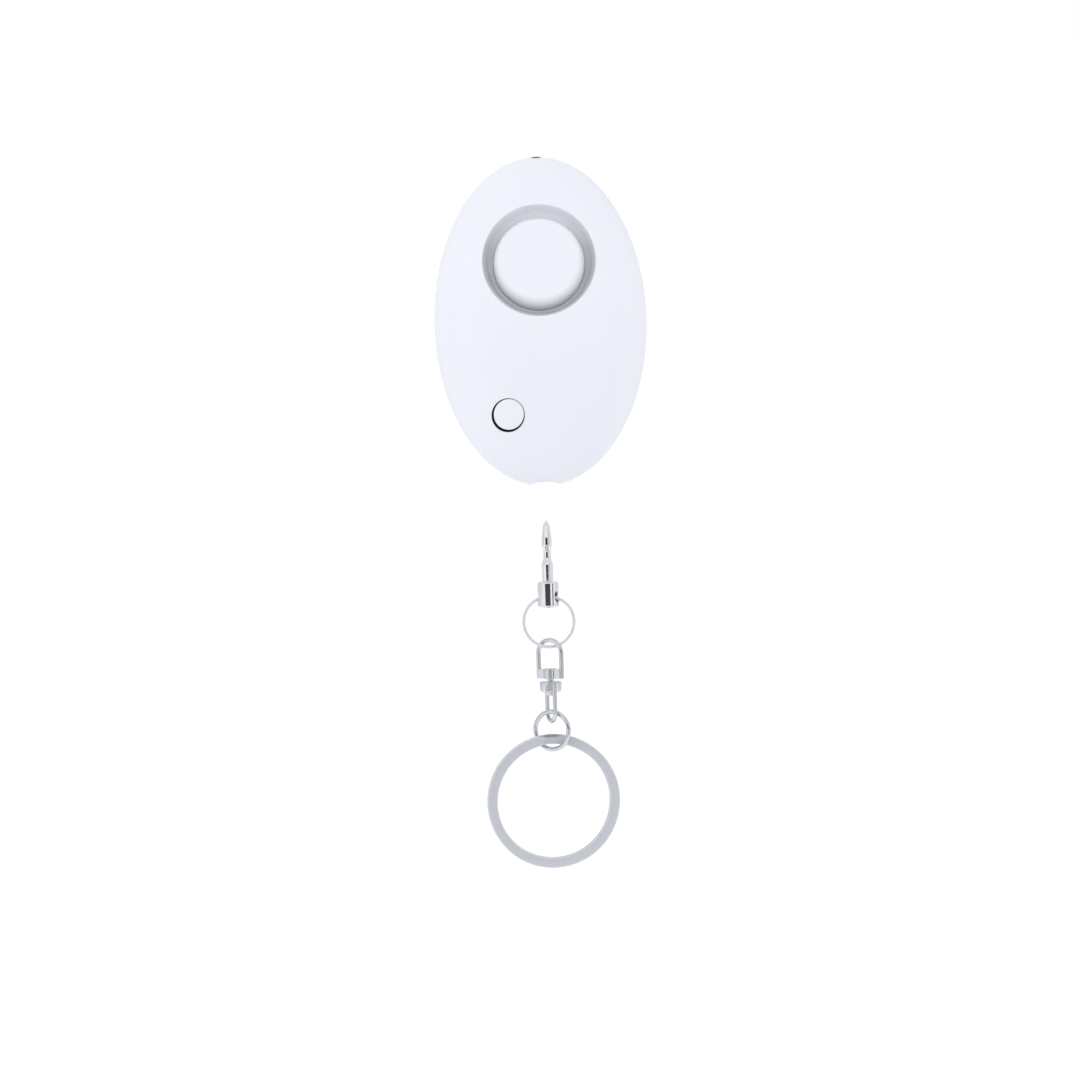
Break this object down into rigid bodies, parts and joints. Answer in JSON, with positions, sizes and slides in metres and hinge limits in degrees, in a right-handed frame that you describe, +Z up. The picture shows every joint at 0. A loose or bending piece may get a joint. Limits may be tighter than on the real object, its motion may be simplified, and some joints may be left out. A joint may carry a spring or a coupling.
{
  "type": "personal safety alarm",
  "caption": "Oval pocket alarm with a siren, a torch lamp and a light button, and a pull pin on a swivel chain with a split key ring that sets it off.",
  "frame": {"origin": "middle of the flat back of the case", "axes": "+X to the right seen from the front, +Y out of the flat back, +Z up along the case, from the pull pin to the lamp"},
  "size_m": [0.04, 0.018, 0.1343],
  "materials": {
    "white_shell": "glossy",
    "white_button": "satin",
    "chrome": "polished",
    "nickel": "satin",
    "screw_steel": "plain",
    "brass": "plain",
    "ceramic": "matte",
    "black_plastic": "matte",
    "board": "matte",
    "ferrite": "matte",
    "copper": "plain",
    "switch_metal": "plain",
    "cell_steel": "plain",
    "lens": "clear",
    "wire": "plain"
  },
  "bodies": {
    "casing": {"front_shell": "white_shell", "rear_shell": "white_shell", "case_screws": "screw_steel", "siren_cap": "white_shell", "piezo_disc": "brass", "piezo_ceramic": "ceramic", "piezo_clamp_ring": "black_plastic", "light_switch": "switch_metal", "circuit_board": "board", "controller_chip": "black_plastic", "boost_coil_core": "ferrite", "boost_coil_winding": "copper", "drive_transistor": "black_plastic", "resistors": "black_plastic", "torch_lamp": "lens", "lamp_leads": "switch_metal", "lamp_wires": "wire", "piezo_wires": "wire", "pin_socket": "black_plastic", "socket_contact": "brass", "switch_leaf": "brass", "battery_tray": "black_plastic", "cell_a": "cell_steel", "cell_b": "cell_steel", "cell_c": "cell_steel", "plus_contact": "switch_metal", "minus_contact": "switch_metal"},
    "light_button": {"light_button": "white_button", "switch_plunger": "black_plastic"},
    "pull_pin": {"pull_pin": "chrome", "pin_collar": "chrome"},
    "pin_ring": {"pin_ring": "chrome"},
    "swivel_shackle": {"swivel_shackle": "chrome", "swivel_rivet": "chrome"},
    "swivel_loop": {"swivel_loop": "chrome"},
    "jump_ring": {"jump_ring": "chrome"},
    "split_ring": {"split_ring": "nickel"}
  },
  "joints": [
    {"name": "button_press", "type": "slide", "parent": "casing", "child": "light_button", "axis": [0, 1, 0], "range_m": [0, 0.0003], "stiffness_N_per_m": 1500, "springref_m": -0.0002},
    {"name": "pin_pull", "type": "slide", "parent": "casing", "child": "pull_pin", "axis": [0, 0, 1], "range_m": [0, 0.0185], "deforming": ["switch_leaf"]},
    {"name": "ring_swing", "type": "hinge", "parent": "pull_pin", "child": "pin_ring", "pos_m": [0, -0.009, -0.05185], "axis": [1, 0, 0], "range_deg": [-90, 90]},
    {"name": "shackle_swing", "type": "hinge", "parent": "pin_ring", "child": "swivel_shackle", "pos_m": [0, -0.009, -0.06105], "axis": [-1, 0, 0], "range_deg": [-45, 45]},
    {"name": "swivel_turn", "type": "hinge", "parent": "swivel_shackle", "child": "swivel_loop", "pos_m": [0, -0.009, -0.068], "axis": [0, 0, 1], "continuous": true},
    {"name": "jump_swing", "type": "hinge", "parent": "swivel_loop", "child": "jump_ring", "pos_m": [0, -0.009, -0.07415], "axis": [0.8746, -0.4848, 0], "range_deg": [-60, 60]},
    {"name": "split_swing", "type": "hinge", "parent": "jump_ring", "child": "split_ring", "pos_m": [0, -0.00915, -0.07885], "axis": [0.9925, 0.1219, 0], "range_deg": [-40, 40]}
  ]
}
